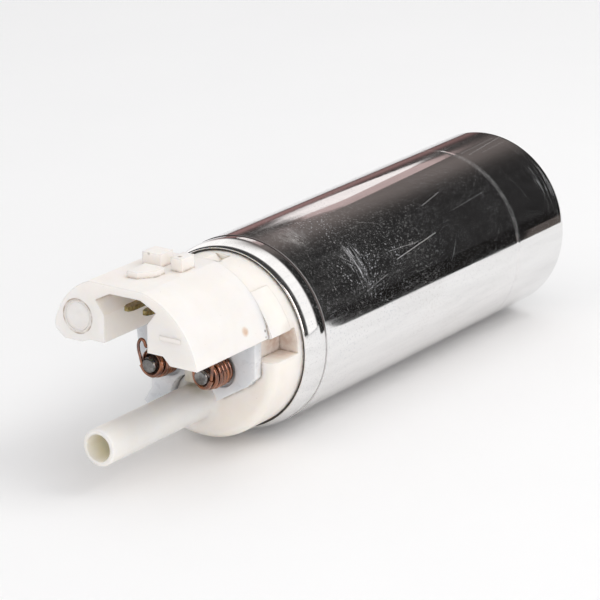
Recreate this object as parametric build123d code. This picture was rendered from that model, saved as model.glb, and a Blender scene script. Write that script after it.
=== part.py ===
"""Electric fuel pump of the in-tank kind, modelled lying on its side.

The round steel can lies along Y with the origin at its middle. The outlet tube and the plug
socket face -Y, the inlet faces +Y, and the plug socket is on top (+Z). All sizes are in mm.
"""
from build123d import *
from math import atan2, ceil, cos, hypot, pi, radians, sin, sqrt
import os

# steel can
CAN_RADIUS = 21.5
CAN_LENGTH = 109.0
CAN_WALL = 1.5
CAN_TAIL_ROUND = 2.5
COLLAR_STEP = 0.4
COLLAR_LENGTH = 6.6
COLLAR_SLOPE = 0.8
LIP_THICKNESS = 1.1
LIP_OVERLAP = 0.6
LIP_ROUND = 0.8
SEAT_DEPTH = 0.8
TAIL_LIP_OVERLAP = 2.6

# clearances
SLIP_FIT = 0.05
RUNNING_FIT = 0.04
STATIC_GAP = 0.2
LIP_GAP = 0.5
OVERCUT = 1.0

# end cap with its outlet tube
CAP_REACH = 10.6
CAP_FLANGE = 5.0
CAP_PLUG_LENGTH = 7.0
CAP_EDGE_ROUND = 2.0
TUBE_DROP = 10.9
TUBE_RADIUS = 4.1
TUBE_BORE = 3.0
TUBE_REACH = 46.5
TUBE_ROOT_ROUND = 1.8
MOUTH_CHAMFER = 0.4
CUTBACK_DEPTH = 5.0
CUTBACK_BOTTOM = 14.5
PAD_HEIGHT = 0.5
PAD_LENGTH = 7.0
PAD_START_ANGLE = 19.0
PAD_END_ANGLE = 50.5
SIDE_POCKET_WALL = 14.8
SIDE_POCKET_FLOOR = 0.9
SIDE_POCKET_DEPTH = 8.9
NOTCH_WIDTH = 3.6
NOTCH_SETBACK = 4.4
NOTCH_LENGTH = 4.6
NOTCH_DEPTH = 1.6
POST_WIDTH = 3.0
POST_REACH = 3.4

# plug socket housing
HOUSING_LENGTH = 25.9
HOUSING_RIGHT = 18.3
HOUSING_LEFT = 18.6
HOUSING_TOP = 21.2
HOUSING_BOTTOM = 6.5
SHOULDER_RISE = 10.8
RIGHT_SHOULDER = 12.1
RIGHT_CROWN = 4.5
LEFT_SHOULDER = 15.2
LEFT_CROWN = 9.7
LEFT_FOOT_RAISE = 1.0
LEFT_CHAMFER_WIDTH = 2.4
LEFT_CHAMFER_RISE = 1.9
LEFT_SIDE_LENGTH = 1.6
HOUSING_BACK = 2.6
HOUSING_WALL = 1.7
LEG_STEP_HEIGHT = 1.8
LEG_STEP_WIDTH = 4.0
SOCKET_HALF_WIDTH = 5.6
SOCKET_KEY_WIDTH = 2.3
SOCKET_KEY_BOTTOM = 14.4
SOCKET_KEY_TOP = 17.4
SOCKET_ROOF_FLAT = 4.0
ROOF_THICKNESS = 1.8
LATCH_WIDTH = 5.2
LATCH_LENGTH = 6.4
LATCH_HEIGHT = 1.4
LATCH_SETBACK = 6.7
LATCH_CENTRE = -2.0
GUIDE_GAP = 2.8
GUIDE_HEIGHT = 2.9
GUIDE_LENGTH = 4.6
GUIDE_SETBACK = 15.5
GUIDE_CENTRE = -1.0
LEFT_GUIDE_WIDTH = 4.7
RIGHT_GUIDE_WIDTH = 2.8

# terminals
BLADE_WIDTH = 2.0
BLADE_THICKNESS = 1.0
BLADE_SPACING = 4.8
BLADE_HEIGHT = 15.4
BLADE_SETBACK = 3.5
BLADE_TIP = 1.2
BLADE_ROOT_DEPTH = 4.0

# chokes and their carriers
CHOKE_SPACING = 13.8
CHOKE_DROP = 1.9
CHOKE_TURNS = 3.5
CHOKE_LEAD_RISE = 4.0
CHOKE_FOOT_BEND = 1.1
CHOKE_PITCH = 1.45
WIRE_RADIUS = 0.45
WIRE_SIDES = 6
CORE_RADIUS = 2.4
CORE_LENGTH = 8.0
CORE_CHAMFER = 0.3
CORE_SLEEVE = 0.3
CARRIER_THICKNESS = 2.4
CARRIER_POCKET_DEPTH = 1.0
CARRIER_POCKET_GAP = 0.6
RIGHT_CARRIER_WIDTH = 16.3
RIGHT_CARRIER_DROP = 2.4
RIGHT_CARRIER_CORNER = 2.2
CHIN_WIDTH = 5.8
CHIN_DROP = 9.6
LEFT_CARRIER_WIDTH = 15.4
LEFT_CARRIER_TAPER = 1.2
LEFT_CARRIER_DROP = 4.2
WAIST_WIDTH = 11.2
WAIST_TOP = 6.9
WAIST_BOTTOM = 9.6
FOOT_WIDTH = 13.2
FOOT_CORNER = 1.2
FOOT_DROP = 14.1

# motor
SHAFT_RADIUS = 2.5
SHAFT_TAIL = 2.7
BUSH_WALL = 2.0
BUSH_LENGTH = 6.5
BRUSH_SPACING = 17.0
BRUSH_WIDTH = 5.0
BRUSH_HEIGHT = 6.0
BRUSH_LENGTH = 12.0
BRUSH_RAISE = 2.0
BRUSH_REACH = 5.0
BRUSH_POCKET_DEPTH = 14.0
BRUSH_SPRING_RADIUS = 2.1
BRUSH_SPRING_WALL = 0.5
BRUSH_TRAVEL = 1.5
CONTACT_GAP = 0.1
COMMUTATOR_RADIUS = 12.0
COMMUTATOR_THICKNESS = 3.0
COMMUTATOR_SLOTS = 8
COMMUTATOR_SLOT_WIDTH = 0.7
HUB_RADIUS = 6.0
HUB_LENGTH = 8.0
HUB_SHOULDER = 2.0
HUB_NOSE = 3.8
HUB_LEDGE = 1.0
ARMATURE_RADIUS = 14.0
ARMATURE_LENGTH = 30.0
ARMATURE_PLACE = 32.5
ARMATURE_SLOT_WIDTH = 1.6
ARMATURE_SLOT_DEPTH = 3.0
WINDING_LENGTH = 5.5
WINDING_INNER = 4.0
WINDING_OUTER = 12.8
WINDING_ROUND = 1.6
MAGNET_GAP = 0.6
MAGNET_ANGLE = 132.0
MAGNET_LENGTH = 38.0
CLIP_THICKNESS = 0.8
CLIP_GAP_ANGLE = 1.0

# pump stage
PLATE_THICKNESS = 8.0
STAGE_THICKNESS = 7.0
COVER_THICKNESS = 12.0
STAGE_SEAL_WIDTH = 2.0
STAGE_SEAL_DEPTH = 1.4
OUTER_TEETH = 7
ARCS_PER_LOBE = 8
ECCENTRICITY = 1.2
TOOTH_CIRCLE = 10.5
TOOTH_RADIUS = 2.6
MESH_GAP = 0.05
ROOT_GAP = 0.1
OUTER_ROTOR_RADIUS = 14.0
ROTOR_END_GAP = 0.05
FLAT_DEPTH = 0.5
PORT_INNER = 6.6
PORT_OUTER = 9.4
PORT_ANGLE = 100.0
INLET_RADIUS = 5.5
INLET_BORE = 4.0
INLET_LENGTH = 11.0
INLET_OFFSET = 8.0
COVER_BOSS = 1.0

# check valve in the outlet and relief valve beside it
CHECK_CHAMBER = 4.0
CHECK_SEAT_LENGTH = 3.0
CHECK_SEAT_BORE = 2.0
CHECK_HEAD_RADIUS = 3.2
CHECK_HEAD_THICKNESS = 1.6
CHECK_STEM_RADIUS = 1.1
CHECK_STEM_LENGTH = 9.0
CHECK_SEAL_THICKNESS = 0.8
CHECK_CHAMBER_DEPTH = 17.0
CHECK_SPRING_WALL = 0.5
RELIEF_RAISE = 11.5
RELIEF_CHAMBER = 2.8
RELIEF_CHAMBER_DEPTH = 19.0
RELIEF_SEAT_LENGTH = 3.0
RELIEF_SEAT_BORE = 1.4
RELIEF_BALL_RADIUS = 2.0
RELIEF_SPRING_RADIUS = 1.7
RELIEF_SPRING_WALL = 0.4
VENT_RADIUS = 0.9

# stations along the axis
RIM = -CAN_LENGTH / 2
TAIL = CAN_LENGTH / 2
can_bore = CAN_RADIUS - CAN_WALL
seat_radius = can_bore + SEAT_DEPTH
collar_radius = CAN_RADIUS - COLLAR_STEP
lip_opening = seat_radius - LIP_OVERLAP
cap_radius = lip_opening - LIP_GAP
flange_start = RIM + LIP_THICKNESS
flange_end = flange_start + CAP_FLANGE
plug_end = flange_end + CAP_PLUG_LENGTH
cap_face = RIM - CAP_REACH
cutback_face = cap_face + CUTBACK_DEPTH
tube_mouth = RIM - TUBE_REACH
housing_front = cap_face - HOUSING_LENGTH
commutator_face = plug_end + BRUSH_REACH
commutator_end = commutator_face + COMMUTATOR_THICKNESS
armature_start = RIM + ARMATURE_PLACE
armature_end = armature_start + ARMATURE_LENGTH
armature_middle = (armature_start + armature_end) / 2
cover_end = TAIL - LIP_THICKNESS
cover_start = cover_end - COVER_THICKNESS
stage_start = cover_start - STAGE_THICKNESS
plate_start = stage_start - PLATE_THICKNESS
tail_opening = can_bore - TAIL_LIP_OVERLAP
stage_radius = can_bore - SLIP_FIT
shaft_start = plug_end - BUSH_LENGTH + STATIC_GAP
shaft_end = cover_start + SHAFT_TAIL


def rod(radius, start, end, x=0.0, z=0.0):
    """Round bar along Y between two stations."""
    bar = Cylinder(radius, end - start, align=(Align.CENTER, Align.CENTER, Align.MIN))
    return Pos(x, start, z) * Rot(X=-90) * bar


def ring(outer, inner, start, end, x=0.0, z=0.0):
    """Round tube along Y between two stations."""
    return rod(outer, start, end, x, z) - rod(inner, start, end, x, z)


def block(x_range, y_range, z_range):
    """Box between pairs of limits."""
    size = [high - low for low, high in (x_range, y_range, z_range)]
    middle = [(low + high) / 2 for low, high in (x_range, y_range, z_range)]
    return Pos(*middle) * Box(*size)


def across(y):
    """Plane across the axis at a station: its local x and y are X and Z, and it faces -Y."""
    return Plane(origin=(0, y, 0), x_dir=(1, 0, 0), z_dir=(0, -1, 0))


def slab(outline, front, rear):
    """Prism of an outline drawn in X and Z, from a front station to a rear one."""
    return extrude(across(rear) * outline, amount=rear - front)


def polygon(*points):
    """Closed flat outline through points."""
    return make_face(Polyline(*points, close=True))


def turned(*corners):
    """Solid of revolution about Y, from the corners of its half section as radius and station."""
    return revolve(make_face(Polyline(*corners, close=True)), axis=Axis.Y)


def sector(outer, inner, middle_angle, angle, start, end):
    """Part of a tube about Y, centred on an angle in the X and Z plane."""
    half = radians(angle / 2)
    reach = 2 * outer
    turns = [radians(middle_angle) + half * share for share in (-1, -0.5, 0, 0.5, 1)]
    wedge = polygon((0, 0), *[(reach * cos(turn), reach * sin(turn)) for turn in turns])
    return ring(outer, inner, start, end) & slab(wedge, start, end)


def rounded_front(radius, edge, front, rear):
    """Round bar with its front edge rounded over."""
    bend = edge * (1 - sqrt(0.5))
    corner = ThreePointArc((radius - edge, front), (radius - bend, front + bend), (radius, front + edge))
    sides = Polyline((radius, front + edge), (radius, rear), (0, rear), (0, front), (radius - edge, front))
    return revolve(make_face([corner, sides]), axis=Axis.Y)


def make_can():
    """Deep steel can: a necked collar and rolled lip in front, a rounded rolled edge behind."""
    shoulder = RIM + COLLAR_LENGTH
    tail_round = min(CAN_TAIL_ROUND, CAN_WALL + TAIL_LIP_OVERLAP - STATIC_GAP)
    round_x, round_y = CAN_RADIUS - tail_round, TAIL - tail_round
    bend = sqrt(0.5)
    lip_x, lip_y = collar_radius - LIP_ROUND, RIM + LIP_ROUND
    section = [
        Line((lip_opening, RIM), (lip_x, RIM)),
        ThreePointArc((lip_x, RIM), (lip_x + bend * LIP_ROUND, lip_y - bend * LIP_ROUND),
                      (collar_radius, lip_y)),
        Polyline((collar_radius, lip_y), (collar_radius, shoulder),
                 (CAN_RADIUS, shoulder + COLLAR_SLOPE), (CAN_RADIUS, round_y)),
        ThreePointArc((CAN_RADIUS, round_y), (round_x + bend * tail_round, round_y + bend * tail_round),
                      (round_x, TAIL)),
        Polyline((round_x, TAIL), (tail_opening, TAIL), (tail_opening, cover_end), (can_bore, cover_end),
                 (can_bore, flange_end), (seat_radius, flange_end), (seat_radius, flange_start),
                 (lip_opening, flange_start), (lip_opening, RIM)),
    ]
    return revolve(make_face(section), axis=Axis.Y)


def cap_openings():
    """Everything that is bored or cut into the end cap from inside the can."""
    bush_radius = SHAFT_RADIUS + BUSH_WALL
    cuts = [
        rod(bush_radius, plug_end - BUSH_LENGTH, plug_end),
        rod(CHECK_CHAMBER, plug_end - CHECK_CHAMBER_DEPTH, plug_end, z=-TUBE_DROP),
        rod(TUBE_BORE, tube_mouth, plug_end - CHECK_CHAMBER_DEPTH, z=-TUBE_DROP),
        rod(RELIEF_CHAMBER, plug_end - RELIEF_CHAMBER_DEPTH, plug_end, z=RELIEF_RAISE),
    ]
    vent = plug_end - RELIEF_CHAMBER_DEPTH + 2 * VENT_RADIUS
    cuts.append(Pos(0, vent, RELIEF_RAISE) * Cylinder(
        VENT_RADIUS, cap_radius, align=(Align.CENTER, Align.CENTER, Align.MIN)))
    for side in (-1, 1):
        middle = side * BRUSH_SPACING / 2
        half = BRUSH_WIDTH / 2 + SLIP_FIT
        height = BRUSH_HEIGHT / 2 + SLIP_FIT
        cuts.append(block((middle - half, middle + half), (plug_end - BRUSH_POCKET_DEPTH, plug_end),
                          (BRUSH_RAISE - height, BRUSH_RAISE + height)))
    return cuts


def blade_slot(side, gap):
    """Room for one terminal blade."""
    middle = side * BLADE_SPACING / 2
    half, rise = BLADE_WIDTH / 2 + gap, BLADE_THICKNESS / 2 + gap
    return block((middle - half, middle + half), (housing_front, cap_face + BLADE_ROOT_DEPTH + gap),
                 (BLADE_HEIGHT - rise, BLADE_HEIGHT + rise))


def make_end_cap():
    """White moulding: flange and plug held by the can, stepped face, and the outlet tube."""
    root = TUBE_RADIUS + TUBE_ROOT_ROUND
    clear = 2 * CAN_RADIUS
    body = rounded_front(cap_radius, CAP_EDGE_ROUND, cap_face, flange_start)
    body += rod(seat_radius - SLIP_FIT, flange_start, flange_end - SLIP_FIT)
    body += rod(can_bore - SLIP_FIT, flange_end - SLIP_FIT, plug_end)
    body += rod(cap_radius, cap_face, flange_start) & block(
        (-clear, clear), (cap_face, flange_start), (HOUSING_BOTTOM, clear))
    cutback = block((-clear, -POST_WIDTH / 2), (cap_face, cutback_face), (-CUTBACK_BOTTOM, HOUSING_BOTTOM))
    body -= cutback - rod(root + STATIC_GAP, cap_face, cutback_face, z=-TUBE_DROP)
    body -= block((SIDE_POCKET_WALL, clear), (cap_face, cap_face + SIDE_POCKET_DEPTH),
                  (SIDE_POCKET_FLOOR, HOUSING_BOTTOM))
    notch_low = cap_radius - NOTCH_DEPTH
    notch_top = cap_radius + OVERCUT
    notch = polygon((-NOTCH_WIDTH, notch_top), (NOTCH_WIDTH, notch_top), (0, notch_low))
    notch_front = cap_face + NOTCH_SETBACK
    body -= slab(notch, notch_front, notch_front + NOTCH_LENGTH)
    pad_middle = (PAD_START_ANGLE + PAD_END_ANGLE) / 2
    for middle in (pad_middle, 180 - pad_middle):
        body += sector(cap_radius + PAD_HEIGHT, cap_radius - OVERCUT, middle,
                       PAD_END_ANGLE - PAD_START_ANGLE, cap_face, cap_face + PAD_LENGTH)
    body += block((-POST_WIDTH / 2, POST_WIDTH / 2), (cap_face - POST_REACH, cap_face + OVERCUT),
                  (root - TUBE_DROP - OVERCUT, HOUSING_BOTTOM - STATIC_GAP))
    body += Pos(0, 0, -TUBE_DROP) * make_tube(root)
    for cut in cap_openings():
        body -= cut
    for side in (-1, 1):
        body -= blade_slot(side, STATIC_GAP / 2)
    return body - seal_groove(plug_end)


def make_tube(root):
    """Outlet tube about its own axis: chamfered mouth, and a hollow curve where it meets the cap."""
    straight_end = cap_face - TUBE_ROOT_ROUND
    bend = TUBE_ROOT_ROUND * sqrt(0.5)
    curve = ThreePointArc((TUBE_RADIUS, straight_end), (root - bend, straight_end + bend), (root, cap_face))
    sides = Polyline((root, cap_face), (root, cap_face + OVERCUT), (0, cap_face + OVERCUT), (0, tube_mouth),
                     (TUBE_RADIUS - MOUTH_CHAMFER, tube_mouth), (TUBE_RADIUS, tube_mouth + MOUTH_CHAMFER),
                     (TUBE_RADIUS, straight_end))
    return revolve(make_face([curve, sides]), axis=Axis.Y)


def seal_groove(end):
    """Groove round a plug, for its square seal ring."""
    start = end - 2 * STAGE_SEAL_WIDTH
    return ring(can_bore + OVERCUT, can_bore - STAGE_SEAL_DEPTH, start, start + STAGE_SEAL_WIDTH)


def make_seal(end):
    """Square rubber ring in its groove."""
    start = end - 2 * STAGE_SEAL_WIDTH + SLIP_FIT
    return ring(can_bore - SLIP_FIT, can_bore - STAGE_SEAL_DEPTH + SLIP_FIT,
                start, start + STAGE_SEAL_WIDTH - 2 * SLIP_FIT)


def housing_outline():
    """Front view of the socket housing: an arch, fuller on its left, with stepped feet."""
    step = HOUSING_BOTTOM + LEG_STEP_HEIGHT
    step_edge = SOCKET_HALF_WIDTH + LEG_STEP_WIDTH
    shoulder = HOUSING_BOTTOM + SHOULDER_RISE
    left_foot = HOUSING_BOTTOM + LEFT_FOOT_RAISE
    left_low = left_foot + LEFT_CHAMFER_RISE
    left_high = left_low + LEFT_SIDE_LENGTH
    right = ThreePointArc((HOUSING_RIGHT, HOUSING_BOTTOM), (RIGHT_SHOULDER, shoulder),
                          (RIGHT_CROWN, HOUSING_TOP))
    left = ThreePointArc((-LEFT_CROWN, HOUSING_TOP), (-LEFT_SHOULDER, shoulder), (-HOUSING_LEFT, left_high))
    top = Line((RIGHT_CROWN, HOUSING_TOP), (-LEFT_CROWN, HOUSING_TOP))
    feet = Polyline((-HOUSING_LEFT, left_high), (-HOUSING_LEFT, left_low),
                    (LEFT_CHAMFER_WIDTH - HOUSING_LEFT, left_foot), (-step_edge - LEG_STEP_HEIGHT, left_foot),
                    (-step_edge, step), (step_edge, step), (step_edge + LEG_STEP_HEIGHT, HOUSING_BOTTOM),
                    (HOUSING_RIGHT, HOUSING_BOTTOM))
    return make_face([right, top, left, feet])


def socket_outline():
    """Plug opening: open below, wider near its roof for the plug's keys."""
    wide = SOCKET_HALF_WIDTH + SOCKET_KEY_WIDTH
    roof = HOUSING_TOP - ROOF_THICKNESS
    half = [(SOCKET_HALF_WIDTH, 0), (SOCKET_HALF_WIDTH, SOCKET_KEY_BOTTOM), (wide, SOCKET_KEY_TOP),
            (SOCKET_ROOF_FLAT, roof)]
    return polygon(*half, *[(-x, z) for x, z in reversed(half)])


def make_housing():
    """Socket housing: hollow legs, keyed socket, latch block and guide blocks on its roof."""
    outline = housing_outline()
    hollow_front = housing_front + HOUSING_WALL
    hollow_rear = cap_face - HOUSING_BACK
    body = slab(outline, housing_front, cap_face) - slab(socket_outline(), housing_front, hollow_rear)
    inside = offset(outline, amount=-HOUSING_WALL)
    inside += inside.moved(Pos(0, -2 * HOUSING_WALL))
    core = SOCKET_HALF_WIDTH + HOUSING_WALL
    for side in (-1, 1):
        leg = polygon(*[(side * x, z) for x, z in (
            (core, 0), (CAN_RADIUS, 0), (CAN_RADIUS, SOCKET_KEY_TOP),
            (core + SOCKET_KEY_WIDTH, SOCKET_KEY_TOP - OVERCUT), (core, SOCKET_KEY_BOTTOM))])
        body -= slab(inside & leg, hollow_front, hollow_rear)
        body -= blade_slot(side, STATIC_GAP / 2)
    return body + roof_blocks()


def roof_blocks():
    """Pointed latch block near the front of the roof, and two guide blocks behind it."""
    base = HOUSING_TOP - ROOF_THICKNESS / 2
    latch_front = housing_front + LATCH_SETBACK
    latch_rear = latch_front + LATCH_LENGTH
    latch_left = LATCH_CENTRE - LATCH_WIDTH / 2
    latch_right = LATCH_CENTRE + LATCH_WIDTH / 2
    latch = Plane.XY.offset(base) * polygon(
        (latch_left, latch_front), (LATCH_CENTRE, latch_front), (latch_right, latch_front + LATCH_LENGTH / 2),
        (latch_right, latch_rear), (latch_left, latch_rear))
    blocks = extrude(latch, amount=HOUSING_TOP + LATCH_HEIGHT - base)
    guide_front = housing_front + GUIDE_SETBACK
    for side, width in ((-1, LEFT_GUIDE_WIDTH), (1, RIGHT_GUIDE_WIDTH)):
        near = GUIDE_CENTRE + side * GUIDE_GAP / 2
        limits = sorted((near, near + side * width))
        blocks += block(limits, (guide_front, guide_front + GUIDE_LENGTH),
                        (base, HOUSING_TOP + GUIDE_HEIGHT))
    return blocks


def make_terminal(side):
    """Brass blade with a tapered tip, from the socket through the wall into the cap."""
    middle = side * BLADE_SPACING / 2
    tip = housing_front + BLADE_SETBACK
    half = BLADE_WIDTH / 2
    outline = Plane.XY.offset(BLADE_HEIGHT - BLADE_THICKNESS / 2) * polygon(
        (middle - half, cap_face + BLADE_ROOT_DEPTH), (middle + half, cap_face + BLADE_ROOT_DEPTH),
        (middle + half, tip + BLADE_TIP), (middle + half / 2, tip), (middle - half / 2, tip),
        (middle - half, tip + BLADE_TIP))
    return extrude(outline, amount=BLADE_THICKNESS)


def choke_axis(side):
    """Place of a choke's axis in X and Z."""
    return side * CHOKE_SPACING / 2, -CHOKE_DROP


winding_radius = CORE_RADIUS + CORE_SLEEVE + WIRE_RADIUS
carrier_face = cap_face - CARRIER_THICKNESS
pocket_floor = carrier_face + CARRIER_POCKET_DEPTH


def carrier_outline(side):
    """Front view of a choke carrier, which differs between the two sides."""
    inner = side * (POST_WIDTH / 2 + STATIC_GAP)
    top = HOUSING_BOTTOM - STATIC_GAP
    if side > 0:
        corner = RIGHT_CARRIER_CORNER
        edge = [(RIGHT_CARRIER_WIDTH, top), (RIGHT_CARRIER_WIDTH, -RIGHT_CARRIER_DROP),
                (RIGHT_CARRIER_WIDTH - corner, -RIGHT_CARRIER_DROP - corner), (CHIN_WIDTH, -CHIN_DROP)]
        low = -CHIN_DROP
    else:
        edge = [(-LEFT_CARRIER_WIDTH, top), (LEFT_CARRIER_TAPER - LEFT_CARRIER_WIDTH, -LEFT_CARRIER_DROP),
                (-WAIST_WIDTH, -WAIST_TOP), (-WAIST_WIDTH, -WAIST_BOTTOM),
                (-FOOT_WIDTH, FOOT_CORNER - FOOT_DROP), (FOOT_CORNER - FOOT_WIDTH, -FOOT_DROP),
                (inner - TUBE_RADIUS, -FOOT_DROP)]
        low = -WAIST_BOTTOM
    return polygon((inner, top), *edge, (inner, low))


def make_carrier(side):
    """Translucent choke carrier: a plate with a round pocket, on the cap's stepped face."""
    seat = cap_face if side > 0 else cutback_face
    x, z = choke_axis(side)
    body = slab(carrier_outline(side), carrier_face, seat)
    pocket = winding_radius + WIRE_RADIUS + CARRIER_POCKET_GAP
    body -= rod(pocket, carrier_face, pocket_floor, x, z)
    root = TUBE_RADIUS + TUBE_ROOT_ROUND + 2 * STATIC_GAP
    return body - rod(root, carrier_face, seat, z=-TUBE_DROP)


def make_core(side):
    """Ferrite rod of a choke, standing in its carrier's pocket."""
    x, z = choke_axis(side)
    front = pocket_floor - CORE_LENGTH
    rounded = CORE_RADIUS - CORE_CHAMFER
    body = turned((0, front), (rounded, front), (CORE_RADIUS, front + CORE_CHAMFER),
                  (CORE_RADIUS, pocket_floor), (0, pocket_floor))
    return Pos(x, 0, z) * body


def biarc(start, start_way, end, end_way):
    """Two tangent arcs from one point and direction to another."""
    chord = end - start
    ways = start_way + end_way
    spread = 2 * (1 - start_way.dot(end_way))
    lean = chord.dot(ways)
    reach = (sqrt(lean * lean + spread * chord.dot(chord)) - lean) / spread
    near, far = start + start_way * reach, end - end_way * reach
    middle = (near + far) * 0.5
    return [TangentArc(start, middle, tangent=start_way), TangentArc(middle, end, tangent=far - near)]


def choke_path(side):
    """Wire path: lead down from the housing, half turns round the core, foot in the carrier."""
    x, z = choke_axis(side)
    front = pocket_floor - 2 * WIRE_RADIUS - CHOKE_FOOT_BEND - CHOKE_TURNS * CHOKE_PITCH
    rise = CHOKE_PITCH / 2
    length = hypot(2 * pi * winding_radius, CHOKE_PITCH)
    flat, climb = 2 * pi * winding_radius / length, CHOKE_PITCH / length

    def place(turn):
        angle = 2 * pi * turn
        return Vector(x + side * winding_radius * cos(angle), front + CHOKE_PITCH * turn,
                      z - winding_radius * sin(angle))

    def way(turn):
        angle = 2 * pi * turn
        return Vector(-side * flat * sin(angle), climb, -flat * cos(angle))

    lead_top = Vector(x + side * winding_radius, front - rise / 2, HOUSING_BOTTOM + CHOKE_LEAD_RISE)
    lead_low = Vector(lead_top.X, lead_top.Y, z + 2 * CHOKE_PITCH)
    pieces = [Line(lead_top, lead_low), *biarc(lead_low, Vector(0, 0, -1), place(0), way(0))]
    for step in range(round(2 * CHOKE_TURNS)):
        pieces += biarc(place(step / 2), way(step / 2), place((step + 1) / 2), way((step + 1) / 2))
    last = CHOKE_TURNS
    foot_run = 2 * WIRE_RADIUS
    sink = CHOKE_FOOT_BEND if way(last).Z > 0 else -CHOKE_FOOT_BEND
    foot = Vector(place(last).X, pocket_floor - foot_run, place(last).Z + sink)
    pieces += biarc(place(last), way(last), foot, Vector(0, 1, 0))
    pieces.append(Line(foot, foot + Vector(0, foot_run, 0)))
    return Wire(pieces)


def least_gap(path):
    """Smallest gap from a wire to itself, between points more than half a turn apart."""
    half_turn = pi * winding_radius
    count = ceil(path.length / (WIRE_RADIUS / 2))
    points = [path.position_at(step / count) for step in range(count + 1)]
    skip = ceil(half_turn / (path.length / count))
    nearest = min((points[near] - points[far]).length
                  for near in range(count) for far in range(near + skip, count + 1))
    return nearest - 2 * WIRE_RADIUS


def make_choke(side):
    """One unbroken copper wire swept along its path."""
    path = choke_path(side)
    print("choke wire gap to itself, mm:", round(least_gap(path), 3))
    start = Plane(origin=path.position_at(0), z_dir=path.tangent_at(0))
    return sweep(start * RegularPolygon(WIRE_RADIUS, WIRE_SIDES), path=path)


def make_bush(start, end):
    """Plain bronze bearing with running clearance on the shaft."""
    return ring(SHAFT_RADIUS + BUSH_WALL - SLIP_FIT, SHAFT_RADIUS + RUNNING_FIT, start, end)


def make_shaft():
    """Motor shaft with a flat where the inner rotor sits."""
    body = rod(SHAFT_RADIUS, shaft_start, shaft_end)
    return body - flat_cut(stage_start, shaft_end)


def flat_cut(start, end):
    """Room above the drive flat."""
    reach = 2 * SHAFT_RADIUS
    return block((-reach, reach), (start, end), (SHAFT_RADIUS - FLAT_DEPTH, reach))


def make_brush(side):
    """Square carbon brush, just off the commutator's face."""
    middle = side * BRUSH_SPACING / 2
    end = commutator_face - CONTACT_GAP
    return block((middle - BRUSH_WIDTH / 2, middle + BRUSH_WIDTH / 2), (end - BRUSH_LENGTH, end),
                 (BRUSH_RAISE - BRUSH_HEIGHT / 2, BRUSH_RAISE + BRUSH_HEIGHT / 2))


def make_brush_spring(side):
    """Coil spring behind a brush, as a plain sleeve."""
    start = plug_end - BRUSH_POCKET_DEPTH
    end = commutator_face - CONTACT_GAP - BRUSH_LENGTH
    return ring(BRUSH_SPRING_RADIUS, BRUSH_SPRING_RADIUS - BRUSH_SPRING_WALL, start + SLIP_FIT,
                end - SLIP_FIT, side * BRUSH_SPACING / 2, BRUSH_RAISE)


def slots(count, width, depth, radius, start, end):
    """Radial slots cut into the edge of a round body."""
    first = block((radius - depth, radius + depth), (start, end), (-width / 2, width / 2))
    return [Rot(Y=360 * step / count) * first for step in range(count)]


def make_commutator():
    """Flat face commutator, split into segments."""
    body = ring(COMMUTATOR_RADIUS, HUB_RADIUS - HUB_LEDGE, commutator_face, commutator_end)
    depth = COMMUTATOR_RADIUS - HUB_RADIUS
    for cut in slots(COMMUTATOR_SLOTS, COMMUTATOR_SLOT_WIDTH, depth, COMMUTATOR_RADIUS,
                     commutator_face, commutator_end - COMMUTATOR_THICKNESS / 3):
        body -= cut
    return body


def make_hub():
    """Insulating hub behind the commutator."""
    core, hub_end = HUB_RADIUS - HUB_LEDGE, commutator_face + HUB_LENGTH
    return turned((SHAFT_RADIUS, commutator_face), (core, commutator_face), (core, commutator_end),
                  (COMMUTATOR_RADIUS - HUB_LEDGE, commutator_end),
                  (HUB_RADIUS, commutator_end + HUB_SHOULDER), (HUB_NOSE, hub_end), (SHAFT_RADIUS, hub_end))


def make_armature():
    """Laminated core with winding slots."""
    body = ring(ARMATURE_RADIUS, SHAFT_RADIUS, armature_start, armature_end)
    for cut in slots(COMMUTATOR_SLOTS, ARMATURE_SLOT_WIDTH, ARMATURE_SLOT_DEPTH, ARMATURE_RADIUS,
                     armature_start, armature_end):
        body -= cut
    return body


def make_winding(start, end, outward):
    """End turns of the armature winding as one rounded ring."""
    inner, outer, edge = WINDING_INNER, WINDING_OUTER, WINDING_ROUND
    far, near = (start, end) if outward < 0 else (end, start)
    step = outward * edge
    return turned((inner, near), (outer, near), (outer, far - step), (outer - edge, far),
                  (inner + edge, far), (inner, far - step))


def make_magnet(side):
    """Ferrite arc magnet against the can's wall."""
    inner = ARMATURE_RADIUS + MAGNET_GAP
    return sector(can_bore - SLIP_FIT, inner, 90 - 90 * side, MAGNET_ANGLE,
                  armature_middle - MAGNET_LENGTH / 2, armature_middle + MAGNET_LENGTH / 2)


def make_clip(side):
    """Curved spring plate that keeps the two magnets apart."""
    outer = can_bore - SLIP_FIT
    angle = 180 - MAGNET_ANGLE - 2 * CLIP_GAP_ANGLE
    return sector(outer, outer - CLIP_THICKNESS, 90 * side, angle,
                  armature_middle - MAGNET_LENGTH / 2, armature_middle + MAGNET_LENGTH / 2)


def port(y_start, y_end, side):
    """Kidney port through a plate beside the rotors."""
    return sector(PORT_OUTER, PORT_INNER, 90 * side, PORT_ANGLE, y_start, y_end)


def make_plate():
    """Outlet side plate of the pump stage, with the rear bush seat and outlet port."""
    body = ring(stage_radius, SHAFT_RADIUS + BUSH_WALL, plate_start, stage_start)
    return body - port(plate_start, stage_start, 1)


def make_pump_ring():
    """Ring round the rotors, bored off centre."""
    bore = OUTER_ROTOR_RADIUS + RUNNING_FIT
    return rod(stage_radius, stage_start, cover_start) - rod(bore, stage_start, cover_start, -ECCENTRICITY)


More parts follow.
